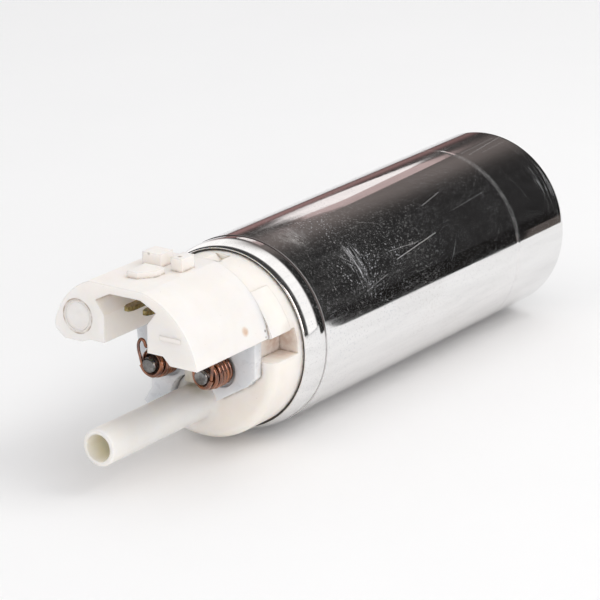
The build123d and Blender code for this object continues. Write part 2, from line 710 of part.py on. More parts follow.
def rotor_point(turn):
    """Point of the inner rotor's trochoid, which rolls inside the round teeth of the outer rotor."""
    reach = TOOTH_RADIUS + MESH_GAP
    ratio = TOOTH_CIRCLE / (ECCENTRICITY * OUTER_TEETH)
    swing = (OUTER_TEETH - 1) * turn
    lean = turn - atan2(sin(swing), ratio - cos(swing))
    x = TOOTH_CIRCLE * cos(turn) - reach * cos(lean) - ECCENTRICITY * cos(OUTER_TEETH * turn)
    z = TOOTH_CIRCLE * sin(turn) - reach * sin(lean) - ECCENTRICITY * sin(OUTER_TEETH * turn)
    return x, -z


def make_inner_rotor():
    """Trochoid inner rotor with one tooth fewer than the outer one, as a chain of arcs."""
    arcs = ARCS_PER_LOBE * (OUTER_TEETH - 1)
    points = [rotor_point(pi * step / arcs) for step in range(2 * arcs + 1)]
    edge = [ThreePointArc(*points[2 * step:2 * step + 3]) for step in range(arcs)]
    start, end = stage_start + ROTOR_END_GAP, cover_start - ROTOR_END_GAP
    body = slab(make_face(edge), start, end)
    return body - (rod(SHAFT_RADIUS, start, end) - flat_cut(start, end))


def make_outer_rotor():
    """Outer rotor: a ring with round inward teeth."""
    root = TOOTH_CIRCLE - TOOTH_RADIUS + 2 * ECCENTRICITY + ROOT_GAP
    start, end = stage_start + ROTOR_END_GAP, cover_start - ROTOR_END_GAP
    body = ring(OUTER_ROTOR_RADIUS, root, start, end)
    for step in range(OUTER_TEETH):
        turn = 2 * pi * step / OUTER_TEETH
        body += rod(TOOTH_RADIUS, start, end, TOOTH_CIRCLE * cos(turn), TOOTH_CIRCLE * sin(turn))
    return Pos(-ECCENTRICITY, 0, 0) * body


def make_inlet_cover():
    """Inlet cover behind the rotors, with its stub and inlet port."""
    boss_radius = tail_opening - STATIC_GAP
    mouth = TAIL + COVER_BOSS + INLET_LENGTH
    body = rod(stage_radius, cover_start, cover_end) + rod(boss_radius, cover_end, TAIL + COVER_BOSS)
    stub = turned((0, cover_end), (INLET_RADIUS, cover_end), (INLET_RADIUS, mouth - MOUTH_CHAMFER),
                  (INLET_RADIUS - MOUTH_CHAMFER, mouth), (0, mouth))
    body += Pos(0, 0, -INLET_OFFSET) * stub
    body -= rod(INLET_BORE, cover_start + COVER_THICKNESS / 3, mouth, z=-INLET_OFFSET)
    body -= port(cover_start, cover_start + COVER_THICKNESS / 2, -1)
    body -= rod(SHAFT_RADIUS + RUNNING_FIT, cover_start, shaft_end + STATIC_GAP)
    return body - seal_groove(cover_end - COVER_THICKNESS / 4)


def make_check_parts():
    """Outlet check valve: seat, moving poppet with its rubber face, and spring sleeve."""
    z = -TUBE_DROP
    seat_front = plug_end - CHECK_SEAT_LENGTH
    seat = ring(CHECK_CHAMBER - SLIP_FIT, CHECK_SEAT_BORE, seat_front, plug_end, z=z)
    face = seat_front - SLIP_FIT
    rubber_front = face - CHECK_SEAL_THICKNESS
    rubber = rod(CHECK_HEAD_RADIUS, rubber_front, face, z=z)
    head_front = rubber_front - CHECK_HEAD_THICKNESS
    poppet = rod(CHECK_HEAD_RADIUS, head_front, rubber_front, z=z)
    poppet += rod(CHECK_STEM_RADIUS, head_front - CHECK_STEM_LENGTH, head_front, z=z)
    shoulder = plug_end - CHECK_CHAMBER_DEPTH
    spring = ring(TUBE_BORE + CHECK_SPRING_WALL, TUBE_BORE, shoulder + SLIP_FIT, head_front - SLIP_FIT, z=z)
    return {"check_valve_seat": seat, "check_valve_face": rubber, "check_valve_poppet": poppet,
            "check_valve_spring": spring}


def make_relief_parts():
    """Relief valve: seat, moving ball and spring sleeve."""
    z = RELIEF_RAISE
    seat_front = plug_end - RELIEF_SEAT_LENGTH
    seat = ring(RELIEF_CHAMBER - SLIP_FIT, RELIEF_SEAT_BORE, seat_front, plug_end, z=z)
    sink = sqrt(RELIEF_BALL_RADIUS ** 2 - RELIEF_SEAT_BORE ** 2)
    middle = seat_front - sink - SLIP_FIT
    ball = Pos(0, middle, z) * Sphere(RELIEF_BALL_RADIUS)
    shoulder = plug_end - RELIEF_CHAMBER_DEPTH
    spring_bore = RELIEF_SPRING_RADIUS - RELIEF_SPRING_WALL
    spring_end = middle - sqrt(RELIEF_BALL_RADIUS ** 2 - spring_bore ** 2) - SLIP_FIT
    spring = ring(RELIEF_SPRING_RADIUS, spring_bore, shoulder + SLIP_FIT, spring_end, z=z)
    seat -= Pos(0, middle, z) * Sphere(RELIEF_BALL_RADIUS + SLIP_FIT)
    return {"relief_valve_seat": seat, "relief_valve_ball": ball, "relief_valve_spring": spring}


def build():
    """All pieces by node name."""
    pieces = {
        "can": make_can(),
        "end_cap": make_end_cap(),
        "end_cap_seal": make_seal(plug_end),
        "connector_housing": make_housing(),
        "front_bush": make_bush(plug_end - BUSH_LENGTH, plug_end),
        "rear_bush": make_bush(plate_start, stage_start),
        "shaft": make_shaft(),
        "commutator": make_commutator(),
        "commutator_hub": make_hub(),
        "armature_core": make_armature(),
        "front_winding": make_winding(armature_start - WINDING_LENGTH, armature_start, -1),
        "rear_winding": make_winding(armature_end, armature_end + WINDING_LENGTH, 1),
        "bearing_plate": make_plate(),
        "pump_ring": make_pump_ring(),
        "inner_rotor": make_inner_rotor(),
        "outer_rotor": make_outer_rotor(),
        "inlet_cover": make_inlet_cover(),
        "inlet_cover_seal": make_seal(cover_end - COVER_THICKNESS / 4),
        "upper_magnet_clip": make_clip(1),
        "lower_magnet_clip": make_clip(-1),
    }
    for name, side in (("left", -1), ("right", 1)):
        pieces[f"{name}_choke_carrier"] = make_carrier(side)
        pieces[f"{name}_choke_core"] = make_core(side)
        pieces[f"{name}_choke_coil"] = make_choke(side)
        pieces[f"{name}_terminal"] = make_terminal(side)
        pieces[f"{name}_brush"] = make_brush(side)
        pieces[f"{name}_brush_spring"] = make_brush_spring(side)
        pieces[f"{name}_magnet"] = make_magnet(side)
    pieces.update(make_check_parts())
    pieces.update(make_relief_parts())
    return pieces


os.makedirs("parts", exist_ok=True)
for node, shape in build().items():
    export_step(shape, f"parts/{node}.step")
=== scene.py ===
"""Looks of the electric fuel pump: materials, fine pieces, floor, lights and camera.

Sizes are in millimetres in the part's own frame, and MM turns them into metres. Only the lights' sizes, the
floor's reach and the camera's clipping are in metres.
"""
import math

import bmesh
import bpy
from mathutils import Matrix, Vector


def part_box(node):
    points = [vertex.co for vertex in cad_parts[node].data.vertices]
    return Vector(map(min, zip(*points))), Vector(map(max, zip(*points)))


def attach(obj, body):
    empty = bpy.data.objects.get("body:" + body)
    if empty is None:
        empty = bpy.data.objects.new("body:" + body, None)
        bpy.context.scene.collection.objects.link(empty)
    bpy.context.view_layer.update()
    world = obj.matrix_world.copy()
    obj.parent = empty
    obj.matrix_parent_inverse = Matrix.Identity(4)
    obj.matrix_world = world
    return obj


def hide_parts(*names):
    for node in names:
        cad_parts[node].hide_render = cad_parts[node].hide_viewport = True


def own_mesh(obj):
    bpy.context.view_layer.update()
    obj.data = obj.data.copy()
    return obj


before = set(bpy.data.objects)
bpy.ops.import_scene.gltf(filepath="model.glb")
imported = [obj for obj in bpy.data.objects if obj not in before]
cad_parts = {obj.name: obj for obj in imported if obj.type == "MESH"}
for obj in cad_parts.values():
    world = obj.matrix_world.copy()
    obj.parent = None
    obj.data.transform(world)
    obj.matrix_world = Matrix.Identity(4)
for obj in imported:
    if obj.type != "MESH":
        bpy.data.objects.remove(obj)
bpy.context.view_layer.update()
MM = 0.001

# stations and sizes shared with the solids
RIM = -54.5
TAIL = 54.5
HOUSING_FRONT = -91.0
POCKET_FLOOR = -66.5
CAN_RADIUS = 21.5
CAN_BORE = 20.0
SEAT_RADIUS = 20.8
LIP_OPENING = 20.2
CAP_RADIUS = 19.7
FLOOR_HEIGHT = -21.5

# stations of the can's fine forms: the crease behind the collar and the ring round the wall
CREASE = -48.0
BAND = 32.5

# rays that a bevel or crevice node casts, and the distance in metres at which points count as one
SHADING_SAMPLES = 6
WELD = 1e-7


class Shade:
    """Builds one node material, with coordinates in millimetres."""

    def __init__(self, name):
        self.material = bpy.data.materials.new(name)
        self.material.use_nodes = True
        self.tree = self.material.node_tree
        self.tree.nodes.clear()
        self.shader = self.node("ShaderNodeBsdfPrincipled")
        output = self.node("ShaderNodeOutputMaterial")
        self.join(self.shader.outputs[0], output.inputs["Surface"])
        coordinates = self.node("ShaderNodeTexCoord")
        self.place = self.vector("SCALE", coordinates.outputs["Object"], scale=1 / MM)

    def node(self, kind):
        return self.tree.nodes.new(kind)

    def join(self, source, target):
        self.tree.links.new(source, target)

    def feed(self, target, value):
        """Links a socket, or sets a plain value."""
        if isinstance(value, bpy.types.NodeSocket):
            self.join(value, target)
        elif hasattr(value, "__len__") and len(value) == 3 and len(target.default_value) == 4:
            target.default_value = [*value, 1]
        else:
            target.default_value = value

    def set(self, **values):
        """Sets or links the shader's own sockets; underscores stand for spaces."""
        for name, value in values.items():
            self.feed(self.shader.inputs[name.replace("_", " ")], value)

    def vector(self, operation, first, second=None, scale=None):
        node = self.node("ShaderNodeVectorMath")
        node.operation = operation
        self.feed(node.inputs[0], first)
        if second is not None:
            self.feed(node.inputs[1], second)
        if scale is not None:
            node.inputs["Scale"].default_value = scale
        return node.outputs["Value" if operation in ("LENGTH", "DISTANCE", "DOT_PRODUCT") else "Vector"]

    def math(self, operation, first, second=None, clamp=False):
        node = self.node("ShaderNodeMath")
        node.operation = operation
        node.use_clamp = clamp
        self.feed(node.inputs[0], first)
        if second is not None:
            self.feed(node.inputs[1], second)
        return node.outputs[0]

    def noise(self, scale, detail=3.0, rough=0.5, place=None):
        node = self.node("ShaderNodeTexNoise")
        self.feed(node.inputs["Vector"], place or self.place)
        node.inputs["Scale"].default_value = scale
        node.inputs["Detail"].default_value = detail
        node.inputs["Roughness"].default_value = rough
        return node.outputs["Fac"]

    def stretched(self, place, x, y, turn=0.0):
        """Coordinates stretched along X and Y, then turned about Z, for drawn-out patterns."""
        node = self.node("ShaderNodeMapping")
        self.join(place, node.inputs["Vector"])
        node.inputs["Rotation"].default_value = (0.0, 0.0, math.radians(turn))
        node.inputs["Scale"].default_value = (x, y, 1.0)
        return node.outputs[0]

    def grains(self, scale, radius, share, place):
        """Scattered dots of uneven strength, in a share of a pattern's cells."""
        node = self.node("ShaderNodeTexVoronoi")
        self.join(place, node.inputs["Vector"])
        node.inputs["Scale"].default_value = scale
        dot = self.span(node.outputs["Distance"], radius * 0.55, radius, 1.0, 0.0)
        parts = self.node("ShaderNodeSeparateColor")
        self.join(node.outputs["Color"], parts.inputs[0])
        return self.math("MULTIPLY", dot, self.span(parts.outputs[0], 1 - share, 1 - share * 0.3))

    def span(self, value, low, high, to_low=0.0, to_high=1.0):
        """Maps a range onto another, and holds what lies outside it at the ends."""
        node = self.node("ShaderNodeMapRange")
        node.clamp = True
        self.feed(node.inputs["Value"], value)
        for name, number in (("From Min", low), ("From Max", high), ("To Min", to_low), ("To Max", to_high)):
            node.inputs[name].default_value = number
        return node.outputs[0]

    def mix(self, share, first, second):
        node = self.node("ShaderNodeMix")
        node.data_type = "RGBA"
        self.feed(node.inputs[0], share)
        self.feed(node.inputs[6], first)
        self.feed(node.inputs[7], second)
        return node.outputs[2]

    def axis(self, letter):
        node = self.node("ShaderNodeSeparateXYZ")
        self.join(self.place, node.inputs[0])
        return node.outputs[letter]

    def bump(self, height, depth, edge=None):
        """Surface relief of a depth in millimetres, on edges rounded by a radius."""
        node = self.node("ShaderNodeBump")
        node.inputs["Strength"].default_value = 1.0
        node.inputs["Distance"].default_value = depth * MM
        self.feed(node.inputs["Height"], height)
        if edge:
            rounded = self.node("ShaderNodeBevel")
            rounded.samples = SHADING_SAMPLES
            rounded.inputs["Radius"].default_value = edge * MM
            self.join(rounded.outputs[0], node.inputs["Normal"])
        return node.outputs[0]

    def crevice(self, reach):
        """1 in the open, falling to 0 in corners narrower than a reach in millimetres."""
        node = self.node("ShaderNodeAmbientOcclusion")
        node.samples = SHADING_SAMPLES
        node.inputs["Distance"].default_value = reach * MM
        return node.outputs["AO"]

    def rim(self, radius):
        """1 at edges and corners, over a strip as wide as a radius in millimetres."""
        rounded = self.node("ShaderNodeBevel")
        rounded.samples = SHADING_SAMPLES
        rounded.inputs["Radius"].default_value = radius * MM
        true = self.node("ShaderNodeNewGeometry")
        alike = self.vector("DOT_PRODUCT", rounded.outputs[0], true.outputs["True Normal"])
        return self.span(alike, 0.84, 0.985, 1.0, 0.0)

    def near(self, spot, radius, soft):
        """1 within a radius of a point, fading out over a soft edge."""
        away = self.vector("DISTANCE", self.place, spot)
        return self.span(away, radius, radius + soft, 1.0, 0.0)


# colours on the mouldings: painted shade in wide corners, brown lines in joints and tight corners (dark joints, with
# painted shade in the tight corners), dirt along edges, and specks
CORNER_SHADE_BROWN = (0.42, 0.34, 0.22)
SEAM_AND_SHADE_BROWN = (0.24, 0.18, 0.13)
EDGE_GRIME = (0.36, 0.29, 0.22)
SPECK_BROWN = (0.30, 0.22, 0.14)

# the pad on the cap whose edges are dirtiest: centre, radius and soft border
DIRTY_PAD = ((16.0, -61.0, 11.0), 8.5, 3.0)

ACETAL_IOR = 1.48
ACETAL_SCATTER = (1.0, 0.80, 0.60)
ACETAL_SCATTER_SCALE = 0.0045


def moulded_plastic(name, shade_between_turns, pale, stains_and_shade, bore_tint=None, rings=(), soil_and_shade=1.0, glow=0.55):
    """Acetal moulding: slightly cloudy, painted shade in wide corners, brown lines in joints and tight corners, edge
    dirt, and a few stains and patches of painted shade.
    """
    shade = Shade(name)
    cloud = shade.noise(0.09, 4, 0.6)
    colour = shade.mix(shade.span(cloud, 0.35, 0.65), shade_between_turns, pale)
    # painted shade: wide corners darkened towards brown-tan by how enclosed they are, broken up by noise
    corner = shade.span(shade.crevice(1.5), 0.30, 0.85, 1.0, 0.0)
    painted_corner_shade = shade.math("MULTIPLY", corner, shade.span(shade.noise(0.35, 3), 0.35, 0.65))
    colour = shade.mix(shade.math("MULTIPLY", painted_corner_shade, 0.30), colour, CORNER_SHADE_BROWN)
    # brown lines in tight corners and joints, by how enclosed they are: partly dark joints, partly painted shade
    seam = shade.span(shade.crevice(0.75), 0.45, 0.88, 1.0, 0.0)
    broken = shade.math("MULTIPLY", seam, shade.span(shade.noise(0.9, 3), 0.40, 0.58, 0.25, 1.0))
    colour = shade.mix(shade.math("MULTIPLY", broken, 0.58 * soil_and_shade), colour, SEAM_AND_SHADE_BROWN)
    lines = shade.math("MULTIPLY", shade.rim(0.28), shade.span(shade.noise(0.5, 3), 0.35, 0.60, 0.35, 1.0))
    around_pad = shade.near(*DIRTY_PAD)
    lines = shade.math("MULTIPLY", lines, shade.span(around_pad, 0.0, 1.0, 0.18 * soil_and_shade, 0.90 * soil_and_shade))
    colour = shade.mix(lines, colour, EDGE_GRIME)
    specks = shade.span(shade.noise(1.9, 2, 0.7), 0.745, 0.775)
    colour = shade.mix(shade.math("MULTIPLY", specks, 0.5), colour, SPECK_BROWN)
    # soft round spots: stains, and patches of painted shade
    for spot, radius, soft, strength, tint_colour in stains_and_shade:
        mark = shade.math("MULTIPLY", shade.near(spot, radius, soft), strength)
        ragged = shade.math("MULTIPLY", mark, shade.span(shade.noise(0.8, 3), 0.25, 0.6, 0.45, 1.0))
        colour = shade.mix(ragged, colour, tint_colour)
    for spot, radius, width, strength, tint_colour in rings:
        off = shade.math("ABSOLUTE", shade.math("SUBTRACT", shade.vector("DISTANCE", shade.place, spot), radius))
        line = shade.math("MULTIPLY", shade.span(off, width * 0.3, width, 1.0, 0.0), strength)
        line = shade.math("MULTIPLY", line, shade.span(shade.noise(0.45, 3), 0.38, 0.62, 0.2, 1.0))
        colour = shade.mix(line, colour, tint_colour)
    if bore_tint:
        (at_x, at_z), bore, depth, tint = bore_tint
        flat = shade.vector("MULTIPLY", shade.place, (1.0, 0.0, 1.0))
        away = shade.vector("DISTANCE", flat, (at_x, 0.0, at_z))
        inside = shade.span(away, bore, bore + 0.12, 1.0, 0.0)
        deep_in = shade.span(shade.axis("Y"), depth, depth + 4, 0.35, 1.0)
        colour = shade.mix(shade.math("MULTIPLY", inside, deep_in), colour, tint)
    rough = shade.span(shade.noise(0.6, 3), 0.3, 0.7, 0.32, 0.46)
    relief = shade.bump(shade.noise(2.6, 4, 0.6), 0.02, edge=0.34)
    shade.set(Base_Color=colour, Roughness=rough, Normal=relief, IOR=ACETAL_IOR, Subsurface_Weight=glow,
              Subsurface_Radius=ACETAL_SCATTER, Subsurface_Scale=ACETAL_SCATTER_SCALE)
    return shade.material


# scratches in the can: start and end as distance round the wall and station, half width, strength
SCRATCHES = [((11.6, -15.5), (13.4, 2.0), 0.13, 1.0), ((14.0, -17.0), (13.2, -6.0), 0.10, 0.7),
             ((20.5, 4.0), (22.0, 13.0), 0.12, 0.8), ((8.0, -30.0), (9.5, -21.0), 0.10, 0.6),
             ((17.5, -33.0), (12.0, -27.5), 0.10, 0.7), ((24.0, -20.0), (20.0, -12.0), 0.09, 0.45),
             ((28.5, 36.0), (30.0, 52.0), 0.13, 0.9), ((30.0, 34.5), (30.8, 50.0), 0.10, 0.8),
             ((27.4, 40.0), (28.0, 51.0), 0.10, 0.6), ((18.0, 39.0), (12.0, 41.0), 0.09, 0.5),
             ((6.0, 4.0), (10.0, 8.0), 0.10, 0.6), ((16.5, 12.0), (17.5, 27.0), 0.09, 0.5),
             ((-4.0, -20.0), (-6.5, 14.0), 0.09, 0.35), ((-9.0, 2.0), (-7.0, 28.0), 0.09, 0.3),
             ((40.0, -30.0), (43.0, 5.0), 0.11, 0.6), ((52.0, -10.0), (49.0, 26.0), 0.11, 0.6),
             ((-30.0, -25.0), (-26.0, 12.0), 0.10, 0.5), ((62.0, -36.0), (60.0, -8.0), 0.10, 0.5)]

# dust in dots: cells to a millimetre, radius in cells, share of the cells
FINE_DUST = (1.95, 0.42, 0.66)
COARSE_DUST = (0.95, 0.24, 0.45)

# ovals of the unrolled wall where dust has settled: centre, reach, soft share
DUSTY_OVALS = (((11.0, -24.0), (16.0, 34.0), 0.8), ((32.0, -30.0), (18.0, 20.0), 0.7))

# scuffs: streaks by turn, stretch along and across, width and seed; the oval they fill; strength
SCUFFS = (((90, 0.05, 1.1, 0.022, 3.0), ((14.0, -29.0), (8.0, 5.0), 0.6), 1.0),
          ((70, 0.20, 2.2, 0.08, 9.0), ((27.0, -39.5), (5.0, 5.0), 0.7), 0.8),
          ((86, 0.05, 0.8, 0.018, 41.0), ((15.0, 50.0), (14.0, 3.4), 0.5), 0.8))

# share of the mirror that dust, scored marks and the ring's haze take
DUST_SHARE = 0.32
SCORED_SHARE = 0.26
BAND_SHARE = 0.13

STEEL_TINTS = ((0.84, 0.835, 0.83), (0.76, 0.755, 0.75))
POWDER_TINTS = ((0.62, 0.68, 0.82), (0.76, 0.68, 0.62))
BAND_POWDER = (0.72, 0.66, 0.63)
CREASE_BROWN = (0.045, 0.030, 0.028)


def polished_steel(name):
    """Bright can steel: mirror finish with dust specks, scuffs round the can and scratches."""
    shade = Shade(name)
    x, y, z = (shade.axis(letter) for letter in "XYZ")
    around = shade.math("MULTIPLY", shade.math("ARCTAN2", z, x), CAN_RADIUS)
    wrap = shade.node("ShaderNodeCombineXYZ")
    for socket, value in zip(wrap.inputs, (around, y, 0.0)):
        shade.feed(socket, value)
    skin = wrap.outputs[0]

    def patch(centre, reach, soft):
        """1 inside an oval patch of the unrolled can wall."""
        away = shade.vector("SUBTRACT", skin, (*centre, 0.0))
        away = shade.vector("DIVIDE", away, (*reach, 1.0))
        return shade.span(shade.vector("LENGTH", away), 1.0 - soft, 1.0, 1.0, 0.0)

    def streaks(turn, along, cross, width, seed):
        """Thin lines that run along a direction of the unrolled wall, broken up by noise."""
        shifted = shade.vector("ADD", skin, (seed, 2 * seed, 0.0))
        lines = shade.noise(1.0, 1.0, 0.5, place=shade.stretched(shifted, along, cross, turn))
        near_mid = shade.math("ABSOLUTE", shade.math("SUBTRACT", lines, 0.5))
        return shade.span(near_mid, 0.0, width, 1.0, 0.0)

    def scratch(start, end, width, strength):
        """One straight scratch on the unrolled wall."""
        run = Vector((end[0] - start[0], end[1] - start[1], 0.0))
        away = shade.vector("SUBTRACT", skin, (*start, 0.0))
        share = shade.vector("DOT_PRODUCT", away, run / run.length_squared)
        share = shade.span(share, 0.0, 1.0)
        along = shade.node("ShaderNodeVectorMath")
        along.operation = "SCALE"
        along.inputs[0].default_value = run
        shade.join(share, along.inputs["Scale"])
        off = shade.vector("DISTANCE", away, along.outputs["Vector"])
        return shade.span(off, 0.0, width, strength, 0.0)

    fine = shade.grains(*FINE_DUST, skin)
    coarse = shade.grains(*COARSE_DUST, shade.vector("ADD", skin, (40.0, 0.0, 0.2)))
    patches = shade.span(shade.noise(0.085, 3, 0.6, place=skin), 0.34, 0.58, 0.30, 1.0)
    settled = shade.math("MAXIMUM", *(patch(*oval) for oval in DUSTY_OVALS))
    patches = shade.math("MULTIPLY", patches, shade.span(settled, 0.0, 1.0, 0.40, 1.15))
    before_band = shade.span(y, BAND, BAND + 1.5, 1.0, 0.3)
    dust = shade.math("MULTIPLY", shade.math("MAXIMUM", fine, coarse), shade.math("MULTIPLY", patches, before_band))
    band_haze = shade.span(shade.math("ABSOLUTE", shade.math("SUBTRACT", y, BAND)), 0.30, 1.15, 1.0, 0.0)
    band_haze = shade.math("MULTIPLY", band_haze, shade.span(shade.noise(0.5, 3, place=skin), 0.35, 0.65, 0.35, 1.0))
    # dark band painted into the crease: partly dirt, partly painted shade that hides the crease's reflected line; full
    # over the upper part where the can mirrors the dark room, weaker below
    crease_dirt_and_shade = shade.span(shade.math("ABSOLUTE", shade.math("SUBTRACT", y, CREASE + 0.07)), 0.16, 0.30)
    crease_dirt_and_shade = shade.math("SUBTRACT", 1.0, crease_dirt_and_shade)
    crease_dirt_and_shade = shade.math("MULTIPLY", crease_dirt_and_shade, shade.span(around, 2.0, 5.0, 0.35, 0.97))

    scored = 0.0
    for lines, oval, strength in SCUFFS:
        marks = shade.math("MULTIPLY", streaks(*lines), patch(*oval))
        scored = shade.math("MAXIMUM", scored, shade.math("MULTIPLY", marks, strength))
    for line in SCRATCHES:
        scored = shade.math("MAXIMUM", scored, scratch(*line))

    smear = shade.span(shade.noise(1.0, 4, 0.6, place=shade.stretched(skin, 0.30, 0.035)), 0.4, 0.7)
    rough = shade.span(smear, 0.0, 1.0, 0.055, 0.12)
    rough = shade.math("ADD", rough, shade.math("MULTIPLY", scored, 0.20))
    tint = shade.mix(smear, *STEEL_TINTS)
    relief = shade.bump(shade.math("ADD", shade.noise(0.30, 3, 0.5, place=skin), shade.math("MULTIPLY", scored, -0.3)),
                        0.004)
    # settled dust scatters light over the mirror: pale where the mirror is dark, grey where it is bright
    powder = shade.mix(shade.span(shade.noise(0.06, 2, place=skin), 0.4, 0.6), *POWDER_TINTS)
    powder = shade.mix(band_haze, powder, BAND_POWDER)
    haze = shade.math("ADD", shade.math("MULTIPLY", dust, DUST_SHARE), shade.math("MULTIPLY", scored, SCORED_SHARE),
                      clamp=True)
    haze = shade.math("ADD", haze, shade.math("MULTIPLY", band_haze, BAND_SHARE), clamp=True)
    mottle = shade.math("MULTIPLY", shade.span(shade.noise(1.4, 3, 0.7, place=skin), 0.42, 0.72), patches)
    haze = shade.math("ADD", haze, shade.span(mottle, 0.0, 1.0, 0.004, 0.040))
    colour = shade.mix(haze, tint, powder)
    colour = shade.mix(crease_dirt_and_shade, colour, CREASE_BROWN)
    mirror = shade.math("SUBTRACT", 1.0, shade.math("MAXIMUM", haze, crease_dirt_and_shade))
    shade.set(Base_Color=colour, Metallic=mirror, Roughness=rough, Normal=relief)
    return shade.material


def clear_nylon(name):
    """Translucent natural nylon with a cool tint and moulding haze."""
    shade = Shade(name)
    haze = shade.noise(0.16, 3, 0.5)
    colour = shade.mix(shade.span(haze, 0.3, 0.7), (0.66, 0.68, 0.71), (0.79, 0.80, 0.825))
    # painted shade: brown darkening in corners, by how enclosed they are
    nylon_corner_shade = shade.math("MULTIPLY", shade.span(shade.crevice(1.0), 0.25, 0.8, 1.0, 0.0), 0.30)
    colour = shade.mix(nylon_corner_shade, colour, (0.36, 0.28, 0.18))
    shade.set(Base_Color=colour, Roughness=shade.span(shade.noise(0.5), 0.3, 0.7, 0.24, 0.36), IOR=1.53,
              Normal=shade.bump(shade.noise(0.5, 2), 0.02, edge=0.3),
              Subsurface_Weight=0.7, Subsurface_Radius=(0.9, 1.0, 1.1), Subsurface_Scale=0.003)
    return shade.material


def enamelled_copper(name):
    """Magnet wire: copper under a red-brown varnish, its tone along the wire partly varnish runs and partly painted
    highlights, with painted shade between the turns.
    """
    shade = Shade(name)
    # tone that changes along the wire: partly varnish runs, partly painted highlights
    runs_and_painted_glints = shade.noise(0.40, 3, 0.6)
    colour = shade.mix(shade.span(runs_and_painted_glints, 0.35, 0.65), (0.08, 0.014, 0.004), (0.34, 0.115, 0.020))
    # painted shade: dark lines between the turns, by how enclosed they are
    shade_between_turns = shade.span(shade.crevice(1.2), 0.25, 0.85, 0.85, 0.0)
    colour = shade.mix(shade_between_turns, colour, (0.060, 0.012, 0.004))
    shade.set(Base_Color=colour, Metallic=0.75, Roughness=shade.span(shade.noise(1.5, 2), 0.3, 0.7, 0.16, 0.26),
              Normal=shade.bump(shade.noise(2.0, 2), 0.015), Coat_Weight=1.0, Coat_Roughness=0.05, Coat_IOR=1.8,
              Coat_Tint=(1.0, 0.84, 0.68))
    return shade.material


# radii in millimetres that shading gives to edges, and the depth of a dull solid's grain
METAL_EDGE = 0.12
DULL_EDGE = 0.15
DULL_GRAIN = 0.03


def plain_metal(name, dark, light, rough, scale=0.8, depth=0.01, metallic=1.0):
    """Metal with uneven tone and a fine finish."""
    shade = Shade(name)
    tone = shade.span(shade.noise(scale, 4, 0.6), 0.32, 0.68)
    gloss = shade.span(shade.noise(scale * 3, 3), 0.3, 0.7, rough * 0.75, rough * 1.25)
    shade.set(Base_Color=shade.mix(tone, dark, light), Metallic=metallic, Roughness=gloss,
              Normal=shade.bump(shade.noise(scale * 6, 3), depth, edge=METAL_EDGE))
    return shade.material


def laminated_steel(name):
    """Stack of thin sheets, with a fine line between each two."""
    shade = Shade(name)
    line = shade.math("PINGPONG", shade.axis("Y"), 0.25)
    dark = shade.span(line, 0.0, 0.07, 1.0, 0.0)
    colour = shade.mix(dark, shade.mix(shade.noise(0.8), (0.30, 0.31, 0.34), (0.45, 0.46, 0.50)), (0.08, 0.08, 0.10))
    shade.set(Base_Color=colour, Metallic=0.9, Roughness=shade.span(shade.noise(2.0), 0.3, 0.7, 0.3, 0.45),
              Normal=shade.bump(line, 0.03))
    return shade.material


def wound_copper(name):
    """End turns seen as bundles of wire."""
    shade = Shade(name)
    strands = shade.node("ShaderNodeTexWave")
    strands.wave_type = "RINGS"
    strands.rings_direction = "Y"
    shade.join(shade.place, strands.inputs["Vector"])
    strands.inputs["Scale"].default_value = 0.9
    strands.inputs["Distortion"].default_value = 3.0
    strands.inputs["Detail"].default_value = 2.0
    height = strands.outputs["Fac"]
    shade.set(Base_Color=shade.mix(height, (0.20, 0.05, 0.02), (0.62, 0.22, 0.08)), Metallic=0.7, Roughness=0.3,
              Normal=shade.bump(height, 0.12))
    return shade.material


def dull_solid(name, dark, light, rough, scale=1.0):
    """Rubber, carbon, phenolic or the dark ring in the cap's gap: matt, with a fine grain."""
    shade = Shade(name)
    tone = shade.span(shade.noise(scale, 5, 0.65), 0.3, 0.7)
    gloss = shade.span(shade.noise(scale * 2), 0.3, 0.7, rough * 0.85, rough)
    shade.set(Base_Color=shade.mix(tone, dark, light), Roughness=gloss,
              Normal=shade.bump(shade.noise(scale * 5, 4, 0.7), DULL_GRAIN, edge=DULL_EDGE))
    return shade.material


BROWN = (0.40, 0.20, 0.10)
OLIVE = (0.40, 0.36, 0.20)
RUST = (0.60, 0.33, 0.16)
SOOT = (0.07, 0.05, 0.04)

# stains, tints and patches of painted shade: centre, radius, soft border, strength and colour
# on the cap the soot dot is a stain; the brown and olive patches are painted shade in the side pocket, under the
# housing's base and round the outlet's root
CAP_STAINS_AND_SHADE = [((1.6, -60.4, 19.5), 0.3, 0.9, 0.75, SOOT), ((16.5, -58.5, 4.0), 1.8, 3.4, 0.62, BROWN),
              ((12.5, -65.5, 4.0), 0.8, 2.8, 0.55, OLIVE), ((0.0, -67.0, -5.6), 1.6, 3.6, 0.50, OLIVE),
              ((-6.5, -65.1, -13.0), 0.8, 3.0, 0.22, OLIVE)]
# on the housing: a rust stain, soot dots, and last a faint brown tint at the front of the socket's roof
HOUSING_MARKS = [((17.3, -72.4, 9.9), 0.35, 0.9, 0.85, RUST), ((-5.4, -76.0, 23.9), 0.2, 0.5, 1.1, SOOT),
                  ((17.2, -66.0, 11.9), 0.22, 0.3, 1.2, SOOT), ((17.6, -65.9, 10.4), 0.05, 0.35, 0.9, SOOT),
                  ((18.0, -65.9, 8.4), 0.10, 0.35, 0.9, SOOT), ((18.1, -66.0, 7.0), 0.10, 0.3, 0.9, SOOT),
                  ((1.7, -74.0, 23.9), 0.15, 0.5, 1.1, SOOT), ((-1.2, -91.0, 17.2), 0.4, 2.0, 0.15, BROWN)]
# the outlet's bore: its axis in X and Z, radius, mouth and tint
TUBE_BORE = ((0.0, -10.9), 3.05, -101.0, (0.95, 0.88, 0.72))
